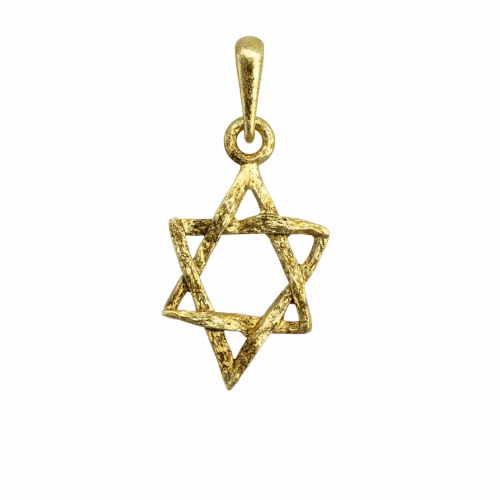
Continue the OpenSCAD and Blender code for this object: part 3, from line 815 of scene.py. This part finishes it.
def feed(tree, made, inputs):
    """Sets a node's inputs, by name or in order. Each is a constant, an output of another node,
    or another node, for its first output. None leaves an input as it is."""
    for key, source in inputs.items() if isinstance(inputs, dict) else enumerate(inputs):
        if isinstance(source, bpy.types.Node):
            source = source.outputs[0]
        if isinstance(source, bpy.types.NodeSocket):
            tree.links.new(source, made.inputs[key])
        elif source is not None:
            made.inputs[key].default_value = source


def node(tree, kind, inputs=(), **properties):
    """Adds a shader node of a kind, with its properties and its inputs."""
    made = tree.nodes.new(kind)
    for key, value in properties.items():
        setattr(made, key, value)
    feed(tree, made, inputs)
    return made


# The noises for the patches of cracks, the patches of wear, and the fine grain of the cast skin
# that polishing leaves: size in mm, how many finer layers, and how strong those are
NOISES = ((0.9, 1, 0.5), (1.6, 2, 0.5), (0.1, 2, 0.6))
GRAIN_DEPTH_MM = 0.006
# The grain's dark and bright values, and how much smoother and rougher the metal is there
GRAIN_DARK, GRAIN_BRIGHT = 0.3, 0.7
SMOOTHER, ROUGHER = 0.7, 1.3
# Cracks between facets: how wide, as a share of a facet, and how deep
CRACK_WIDE, CRACK_DEPTH_MM = 0.11, 0.02
# The noise's values at which metal begins to be cracked or worn, and is fully so
CRACKED_FROM, CRACKED_FULL = 0.38, 0.54
WORN_FROM, WORN_FULL = 0.4, 0.6
# How much rougher a rubbed ridge is
RUBBED_ROUGHNESS = 0.25
# Sizes of the smallest facets along, across and out of a part, and their depth, in mm
STAR_MARKS = [((0.9, 0.18, 0.25), 0.13), ((0.42, 0.12, 0.17), 0.055)]
BAIL_MARKS = [((0.22, 0.2, 0.34), 0.055), ((0.12, 0.12, 0.2), 0.03)]


def gold(name, finish, roughness, marks):
    """Yellow gold of about 18 carat, cast and worked by hand. Clean metal is a pale greenish
    yellow that mirrors the studio, and wear leaves redder patches. In the hollows and cracks it
    is brown and dull, partly dirt that wear doesn't polish and partly painted shade; the same
    brown is painted shade in soldered corners and on faces that look sideways, and on the bail a
    painted dark reflection down its front. On rubbed ridges it is paler, partly polished wear and
    partly a painted highlight, and has a satin shine. Marks is a list of cell sizes and depths in
    mm: each cell, drawn out along its bar, is a small flat facet. A facet's height is the offset
    from its cell's middle times a slope of the cell's own, made from the cell's colour. The first
    one's borders are cracked in patches. A fine grain lies over all. Metal keeps the default IOR."""
    material = bpy.data.materials.new(name)
    material.use_nodes = True
    tree = material.node_tree
    place = node(tree, "ShaderNodeTexCoord").outputs["Object"]
    along = node(tree, "ShaderNodeAttribute", attribute_name="along").outputs["Vector"]
    hollow, marked, rubbed = (
        node(tree, "ShaderNodeAttribute", attribute_name=each).outputs["Fac"]
        for each in ("hollow", "marked", "rubbed"))
    patch, wear, grain = (
        node(tree, "ShaderNodeTexNoise", {
            "Vector": place, "Scale": 1 / (size * MM), "Detail": layers, "Roughness": strength})
        for size, layers, strength in NOISES)

    normal = None
    fields = []
    for size, depth in marks:
        per_metre = [1 / (length * MM) for length in size]
        cells = node(tree, "ShaderNodeVectorMath", [along, per_metre], operation="MULTIPLY")
        facet = node(tree, "ShaderNodeTexVoronoi", {"Vector": cells, "Scale": 1})
        offset = node(
            tree, "ShaderNodeVectorMath", [cells, facet.outputs["Position"]], operation="SUBTRACT")
        slope = node(
            tree, "ShaderNodeVectorMath", [facet.outputs["Color"], (0.5, 0.5, 0.5)],
            operation="SUBTRACT")
        ramp = node(tree, "ShaderNodeVectorMath", [offset, slope], operation="DOT_PRODUCT")
        height = node(tree, "ShaderNodeMath", [ramp.outputs["Value"], marked], operation="MULTIPLY")
        normal = node(
            tree, "ShaderNodeBump", {"Height": height, "Distance": depth * MM, "Normal": normal})
        fields.append(cells)

    border = node(
        tree, "ShaderNodeTexVoronoi", {"Vector": fields[0], "Scale": 1}, feature="DISTANCE_TO_EDGE")
    line = node(tree, "ShaderNodeMapRange", [border, 0, CRACK_WIDE, 1, 0])
    cracked = node(tree, "ShaderNodeMapRange", [patch, CRACKED_FROM, CRACKED_FULL, 0, 1])
    where = node(tree, "ShaderNodeMath", [cracked, marked], operation="MULTIPLY")
    crack = node(tree, "ShaderNodeMath", [line, where], operation="MULTIPLY")
    sunk = node(
        tree, "ShaderNodeBump", {"Height": crack, "Distance": CRACK_DEPTH_MM * MM, "Normal": normal},
        invert=True)
    fine = node(
        tree, "ShaderNodeBump", {"Height": grain, "Distance": GRAIN_DEPTH_MM * MM, "Normal": sunk})

    worn = node(tree, "ShaderNodeMapRange", [wear, WORN_FROM, WORN_FULL, 0, 1])
    # Painted shade: the brown mix darkens soldered corners and sideways faces, pits and cracks partly as
    # dirt, and the bail's band as a painted dark reflection; the paler mix on ridges is partly a painted
    # highlight
    dirt_and_shade = node(tree, "ShaderNodeMath", [hollow, crack], operation="MAXIMUM")
    colour = linear(finish.gold)
    for share, over in ((worn, finish.worn), (rubbed, finish.rubbed), (dirt_and_shade, finish.dirt_and_shade_colour)):
        mixed = node(
            tree, "ShaderNodeMix", {"Factor": share, "A": colour, "B": linear(over)}, data_type="RGBA")
        colour = mixed.outputs["Result"]

    rough = node(
        tree, "ShaderNodeMapRange",
        [grain, GRAIN_DARK, GRAIN_BRIGHT, roughness * SMOOTHER, roughness * ROUGHER])
    satin = node(tree, "ShaderNodeMath", [rubbed, RUBBED_ROUGHNESS, rough], operation="MULTIPLY_ADD")
    shader = tree.nodes["Principled BSDF"]
    feed(tree, shader, {"Metallic": 1, "Base Color": colour, "Roughness": satin, "Normal": fine})
    return material


# Passes that take the grid's steps off the fused skin, and that fill its corners with solder
CRISP_PASSES, SOLDER_PASSES = 2, 14
# Soldered corners, ridges and pits: over how many edges their sag is spread, and a full sag in mm
CORNER_SAG, RIDGE_SAG, PIT_SAG = (6, 0.002), (4, 0.006), (1, 0.014)
# Where a ridge's sag begins to count as rubbed, and is fully so, as shares of the full one; rubbed
# ridges are painted paler, partly for wear and partly as a painted highlight
RUBBED_FROM, RUBBED_FULL = 4 / 11, 9 / 11
# The relief grows as the face turns forwards or back, between these cosines, from a least share
RELIEF_FROM, RELIEF_FULL, RELIEF_LEAST = 0.4, 0.85, 0.12
# The shares of the relief that solder and rubbing take away
CORNER_SMOOTHED, RIDGE_SMOOTHED = 0.7, 0.85
# The cosines between which a face begins to count as a side, which gets painted shade, and is fully one
SHADED_SIDE_FROM, SHADED_SIDE_FULL = 0.65, 0.35
# The strengths of the marks between which the metal begins to be battered, and is fully so
BATTERED_FROM, BATTERED_FULL = 1, 1.25
# How much each darkens the gold to brown: pits and cracks partly as dirt and partly as painted
# shade, soldered corners and sides as painted shade, and battered stretches as dull wear
DIRT_AND_SHADE_BY = (0.65, 0.8, 0.15, 0.3, 0.4)


class PENDANT_OT_star(bpy.types.Operator):
    """Builds the star with its neck and loop as one hammered casting"""

    bl_idname = "pendant.star"
    bl_label = "Hammered star"

    def execute(self, context):
        sizes, finish = context.scene.star_sizes, context.scene.gold_finish
        parts = [bar_surface(bar, sizes) for bar in BARS]
        parts += [loop_surface(sizes), neck_surface(sizes)]
        parts += [web_surface(web, sizes) for web in WEBS]
        mesh = fused("hammered_star", *joined(parts), sizes.voxel)
        edges, tris = edge_pairs(mesh), triangles(mesh)
        crisp = relaxed(positions(mesh), edges, CRISP_PASSES)
        # Solder fills the corners where parts meet, and leaves the ridges crisp
        corner = hollowness(crisp, edges, vertex_normals(crisp, tris), *CORNER_SAG)
        points = between(crisp, relaxed(crisp, edges, SOLDER_PASSES), corner[:, None])
        normals = vertex_normals(points, tris)
        # Wear has smoothed the ridges, the faces that look sideways and the soldered corners
        ridge = rise(hollowness(points, edges, -normals, *RIDGE_SAG), RUBBED_FROM, RUBBED_FULL)
        frontal = np.abs(normals[:, 1])
        depth = np.maximum(rise(frontal, RELIEF_FROM, RELIEF_FULL), RELIEF_LEAST)
        depth = depth * (1 - CORNER_SMOOTHED * corner) * (1 - RIDGE_SMOOTHED * ridge)
        places, strength = marked_places(points, sizes)
        relief, crack = hammered(places, strength, sizes.seed)
        points = points + normals * (depth * relief)[:, None]
        # Painted shade: the brown tint goes into the soldered corners and onto faces that look sideways;
        # in pits and cracks it is partly dirt and partly painted shade, and on battered stretches it is
        # dull wear
        pit = hollowness(points, edges, vertex_normals(points, tris), *PIT_SAG)
        side = rise(frontal, SHADED_SIDE_FROM, SHADED_SIDE_FULL)
        battered = rise(strength, BATTERED_FROM, BATTERED_FULL)
        causes = zip(DIRT_AND_SHADE_BY, (pit, crack, corner, side, battered))
        dirt_and_shade = np.clip(sum(share * cause for share, cause in causes), 0, 1)
        along = wandered(places, *FINE_WANDER, sizes.seed + 5) * MM
        # Painted highlight: ridges outside the soldered corners are painted paler, partly as wear and
        # partly standing in for their bright lines
        rubbed = ridge * (1 - corner)
        put_attributes(mesh, hollow=dirt_and_shade, marked=strength * depth, rubbed=rubbed, along=along)
        # Cast and struck all over with small tools: bright facets in many directions, dull pits
        material = gold("hammered_yellow_gold", finish, finish.roughness, STAR_MARKS)
        show("hammered_star", mesh, points, "star", "star", material)
        return {"FINISHED"}


def bail_inside(places, sizes):
    """The bail's inside seen from the side: an arc over the chain, a straight leg and a small
    arc over the foot, for places from 0 at the top to 1 at the foot. Each arc is its middle plus
    its radius times the outward direction. Returns the (y, z) points and those directions."""
    eye_z = -sizes.eye_radius
    foot_z = sizes.foot_radius + sizes.foot + BAIL_LOW[2]
    lean = math.asin((sizes.eye_radius - sizes.foot_radius) / (eye_z - foot_z))
    leg = (eye_z - foot_z) * math.cos(lean)
    eye_turn = math.pi / 2 + lean
    turn = eye_turn * rise(places, 0, EYE_PART) + (math.pi - eye_turn) * rise(places, LEG_PART, 1)
    out = np.stack([np.sin(turn), np.cos(turn)], axis=-1)
    down = np.array([math.cos(eye_turn), -math.sin(eye_turn)])
    on_leg = leg * rise(places, EYE_PART, LEG_PART)[:, None]
    from_eye = np.array([0, eye_z]) + sizes.eye_radius * out + on_leg * down
    from_foot = np.array([0, foot_z]) + sizes.foot_radius * out
    return np.where(places[:, None] <= LEG_PART, from_eye, from_foot), out


def bail_surface(sizes):
    """The bail: ovals, fuller outside than inside, carried round a closed teardrop. A point lies
    off the inside line by the inner share of the metal plus the sine of the turn times the metal
    on that side, and across by the cosine times half the width."""
    half = np.linspace(0, 1, BAIL_RINGS)
    inside, out = bail_inside(half, sizes)
    rows = read_rows(BAIL_ROWS, half)
    width = between(sizes.foot_width, sizes.width, rows[:, 1:2])
    full = np.where(half < FOOT_STARTS, sizes.crown, sizes.foot)[:, None]
    metal = between(sizes.leg, full, rows[:, 2:3])
    inner = metal * rows[:, 3:4]
    turn = round_turn(BAIL_SIDES)
    side = np.cos(turn) * width / 2
    height = inner + np.where(np.sin(turn) > 0, metal - inner, inner) * np.sin(turn)
    y = inside[:, :1] + out[:, :1] * height
    z = inside[:, 1:] + out[:, 1:] * height
    back = np.stack([side, y, z], axis=-1)
    front = np.stack([side, -y, z], axis=-1)
    return tube(np.concatenate([front, back[-2:0:-1]]), closed=True)


# The band down the bail's front, painted darker as a dark reflection and with denser dents, in mm:
# its middle and half its width, and the heights at which it begins and is full, at its top and at its
# foot
BAND_MIDDLE, BAND_HALF = -0.05, 0.36
BAND_TOP, BAND_FOOT = (-1.6, -2.3), (-8.3, -5.8)
# Patches of marks: how wide in mm, how far they swing, and their middle off and on the band
BAIL_PATCHES = (1.2, 0.4)
OFF_BAND, ON_BAND = 0.25, 1
# The least depth of the dents and strength of the fine marks, outside the patches, as shares
DENTS_LEAST, BAIL_MARKS_LEAST = 0.5, 0.15
# How much cracks darken the bail as dirt, and the band as a painted dark reflection
BAIL_DIRT_AND_DARK_REFLECTION_BY = (0.9, 0.5)


class PENDANT_OT_bail(bpy.types.Operator):
    """Builds the polished bail"""

    bl_idname = "pendant.bail"
    bl_label = "Polished bail"

    def execute(self, context):
        finish, seed = context.scene.gold_finish, context.scene.star_sizes.seed
        mesh = new_mesh("polished_bail", *bail_surface(context.scene.bail_sizes))
        points = positions(mesh)
        x, y, z = points.T
        # Painted reflection: the band darkens the middle of the bail's front, standing in for the dark
        # reflection of the tent's opening there, and gathers denser dents
        # Full in its middle, with soft sides: e to minus the fourth power of the offset
        dark_reflection_band = np.exp(-((x - BAND_MIDDLE) / BAND_HALF) ** 4) * (y < 0)
        dark_reflection_band = dark_reflection_band * rise(z, *BAND_TOP) * rise(z, *BAND_FOOT)
        wide, swing = BAIL_PATCHES
        patch = patches(points, wide, between(OFF_BAND, ON_BAND, dark_reflection_band), swing, seed + 85)
        crack = patch * cracks(points, BAIL_CRACKS, seed + 90)
        dents = struck(points, BAIL_DENTS, seed + 80) * between(DENTS_LEAST, 1, patch)
        relief = dents - BAIL_CRACK_DEPTH * crack
        points = points + vertex_normals(points, triangles(mesh)) * relief[:, None]
        # The cracks darken the bail as dirt, and the band as a painted dark reflection
        dirt_and_shade = np.clip(BAIL_DIRT_AND_DARK_REFLECTION_BY[0] * crack + BAIL_DIRT_AND_DARK_REFLECTION_BY[1] * dark_reflection_band, 0, 1)
        put_attributes(mesh, hollow=dirt_and_shade, marked=between(BAIL_MARKS_LEAST, 1, patch), along=points * MM)
        # Cast, filed and polished: long smooth reflections, broken by shallow dents
        material = gold("polished_yellow_gold", finish, finish.polish, BAIL_MARKS)
        show("polished_bail", mesh, points, "bail", "bail", material)
        return {"FINISHED"}


def away(azimuth, elevation):
    """The direction towards an azimuth (0 towards the camera, 90 to the right) and elevation."""
    a, e = math.radians(azimuth), math.radians(elevation)
    return np.array([math.sin(a) * math.cos(e), -math.cos(a) * math.cos(e), math.sin(e)])


# Soft boxes: azimuth, elevation, width and height in degrees, and brightness against white
# paper, and how far they all stand from the pendant, in metres
SOFTBOXES = [
    ("softbox_right", 48, -4, 44, 64, 0.96),
    ("softbox_top", 2, 29, 58, 38, 0.92),
    ("softbox_left", -48, 38, 24, 26, 0.75),
    ("softbox_fill", -80, -8, 36, 56, 0.48),
]
SOFTBOX_DISTANCE = 0.35


def soft_box(centre, name, azimuth, elevation, wide, high, bright):
    """An area light that faces the pendant. Its power is its brightness times pi times its area."""
    width, height = (2 * SOFTBOX_DISTANCE * math.tan(math.radians(angle / 2)) for angle in (wide, high))
    light = bpy.data.lights.new(name, "AREA")
    light.shape = "RECTANGLE"
    light.size, light.size_y = width, height
    light.energy = bright * math.pi * width * height
    lamp = bpy.data.objects.new(name, light)
    bpy.context.scene.collection.objects.link(lamp)
    way = away(azimuth, elevation)
    lamp.location = centre + way * SOFTBOX_DISTANCE
    lamp.rotation_mode = "QUATERNION"
    # A light shines along its own -Z
    lamp.rotation_quaternion = Vector(-way).to_track_quat("-Z", "Y")
    lamp.visible_camera = False


# Half the floor's side, in metres, and its paper's colour and roughness
FLOOR_HALF = 0.5
PAPER_COLOUR, PAPER_ROUGHNESS = "#F2F1EF", 0.8


def make_floor(z):
    """A plain pale floor, a metre across, under the view: a square of four corners."""
    mesh = bpy.data.meshes.new("pale_floor")
    corners = [(x * FLOOR_HALF, y * FLOOR_HALF, z) for x, y in ((-1, -1), (1, -1), (1, 1), (-1, 1))]
    mesh.from_pydata(corners, [], [(0, 1, 2, 3)])
    # Uncoated paper: matt and nearly white, so it is evenly pale and mirrors nothing
    paper = bpy.data.materials.new("pale_paper")
    paper.use_nodes = True
    shader = paper.node_tree.nodes["Principled BSDF"]
    feed(paper.node_tree, shader, {"Base Color": linear(PAPER_COLOUR), "Roughness": PAPER_ROUGHNESS})
    mesh.materials.append(paper)
    floor = bpy.data.objects.new("pale_floor", mesh)
    bpy.context.scene.collection.objects.link(floor)
    # The gold mirrors the dim tent below it, as in the photograph, and not the floor
    floor.visible_glossy = False


# The tent's walls against white paper: their middle, how far they swing towards the bright side
# (above, behind and to the right), and how far the soft folds swing, whose count grows with scale
TENT_MIDDLE, TENT_SPREAD = 0.395, 0.15
TENT_BRIGHT_SIDE = (0.58, 0.5, 0.64)
TENT_FOLDS, FOLDS_SCALE = 0.3, 2.6
# The opening for the camera: its azimuth and elevation, the cosines of the angles at which it
# begins and is darkest, and the share of the walls' light there
TENT_OPENING = (-8, -19)
OPENING_OUTER, OPENING_INNER = (math.cos(math.radians(angle)) for angle in (26, 8))
OPENING_DARK = 0.42
PAPER_WHITE = 0.97


def make_world(scene):
    """A light tent with a darker opening in front and below. The walls' strength is the middle
    value, plus the spread times the cosine of the angle to the bright side, plus soft folds of
    noise. The camera sees plain white paper in their place."""
    world = bpy.data.worlds.new("light_tent")
    world.use_nodes = True
    tree = world.node_tree
    place = node(tree, "ShaderNodeTexCoord").outputs["Generated"]
    towards = node(tree, "ShaderNodeVectorMath", [place, TENT_BRIGHT_SIDE], operation="DOT_PRODUCT")
    wall = node(
        tree, "ShaderNodeMath", [towards.outputs["Value"], TENT_SPREAD, TENT_MIDDLE],
        operation="MULTIPLY_ADD")
    folds = node(tree, "ShaderNodeTexNoise", {"Vector": place, "Scale": FOLDS_SCALE, "Detail": 2})
    shade = node(tree, "ShaderNodeMath", [folds, TENT_FOLDS, -TENT_FOLDS / 2], operation="MULTIPLY_ADD")
    walls = node(tree, "ShaderNodeMath", [wall, shade], operation="ADD")
    ahead = node(tree, "ShaderNodeVectorMath", [place, away(*TENT_OPENING)], operation="DOT_PRODUCT")
    opening = node(
        tree, "ShaderNodeMapRange",
        [ahead.outputs["Value"], OPENING_OUTER, OPENING_INNER, 1, OPENING_DARK],
        interpolation_type="SMOOTHSTEP")
    lit = node(tree, "ShaderNodeMath", [walls, opening], operation="MULTIPLY")
    seen = node(tree, "ShaderNodeLightPath").outputs["Is Camera Ray"]
    strength = node(tree, "ShaderNodeMix", {"Factor": seen, "A": lit, "B": PAPER_WHITE})
    feed(tree, tree.nodes["Background"], {"Color": (1, 1, 1, 1), "Strength": strength})
    scene.world = world


# The tone curve: its power, its middle light, and the light values at which it is set
PRINT_CONTRAST = 2.2
PRINT_MIDDLE = 0.5
PRINT_POINTS = (0.02, 0.05, 0.1, 0.16, 0.24, 0.34, 0.46, 0.6, 0.78)


def print_tone(light):
    """The photograph's contrast: light to a power, over itself plus the middle light to that
    power, stretched so that white paper, 1, stays white."""
    bent = light ** PRINT_CONTRAST
    middle = PRINT_MIDDLE ** PRINT_CONTRAST
    return bent * (1 + middle) / (bent + middle)


def set_tones(scene):
    """Standard colours through the photograph's tone curve, the same for red, green and blue.
    It makes the dark gold browner and the bright gold paler, as the photograph's is."""
    view = scene.view_settings
    view.view_transform = "Standard"
    view.use_curve_mapping = True
    mapping = view.curve_mapping
    for place in PRINT_POINTS:
        mapping.curves[3].points.new(place, print_tone(place))
    mapping.update()


def make_camera(scene, studio):
    """A long lens straight in front, whose frame is view_height tall at the pendant."""
    lens = bpy.data.cameras.new("camera")
    lens.lens = lens.sensor_width * studio.distance / studio.view_height
    lens.clip_start, lens.clip_end = 0.01, 10
    camera = bpy.data.objects.new("camera", lens)
    scene.collection.objects.link(camera)
    camera.location = np.array(studio.centre) + away(0, 0) * studio.distance
    camera.rotation_euler = (math.pi / 2, 0, 0)
    scene.camera = camera


class PENDANT_OT_stage(bpy.types.Operator):
    """Builds the floor, the soft boxes, the light tent and the camera, and sets the tones"""

    bl_idname = "pendant.stage"
    bl_label = "Small studio"

    def execute(self, context):
        studio = context.scene.studio
        make_floor(studio.floor_z)
        for row in SOFTBOXES:
            soft_box(np.array(studio.centre), *row)
        make_world(context.scene)
        set_tones(context.scene)
        make_camera(context.scene, studio)
        return {"FINISHED"}


class PENDANT_PT_panel(bpy.types.Panel):
    """Lists the pendant's sizes and its operators."""

    bl_label = "Pendant"
    bl_idname = "PENDANT_PT_panel"
    bl_space_type = "VIEW_3D"
    bl_region_type = "UI"
    bl_category = "Pendant"

    def draw(self, context):
        for group in GROUPS:
            box = self.layout.box()
            box.label(text=group.replace("_", " ").capitalize())
            values = getattr(context.scene, group)
            for name in values.bl_rna.properties.keys():
                if name not in ("rna_type", "name"):
                    box.prop(values, name)
        for operator in OPERATORS:
            self.layout.operator(operator.bl_idname)


GROUPS = {"star_sizes": StarSizes, "bail_sizes": BailSizes, "gold_finish": GoldFinish, "studio": Studio}
OPERATORS = [PENDANT_OT_star, PENDANT_OT_bail, PENDANT_OT_stage]
CLASSES = [*GROUPS.values(), *OPERATORS, PENDANT_PT_panel]


def register():
    for cls in CLASSES:
        bpy.utils.register_class(cls)
    for name, group in GROUPS.items():
        setattr(bpy.types.Scene, name, PointerProperty(type=group))


def unregister():
    for name in GROUPS:
        delattr(bpy.types.Scene, name)
    for cls in reversed(CLASSES):
        bpy.utils.unregister_class(cls)


def main():
    register()
    bpy.ops.pendant.star()
    bpy.ops.pendant.bail()
    bpy.ops.pendant.stage()


if __name__ == "__main__":
    main()
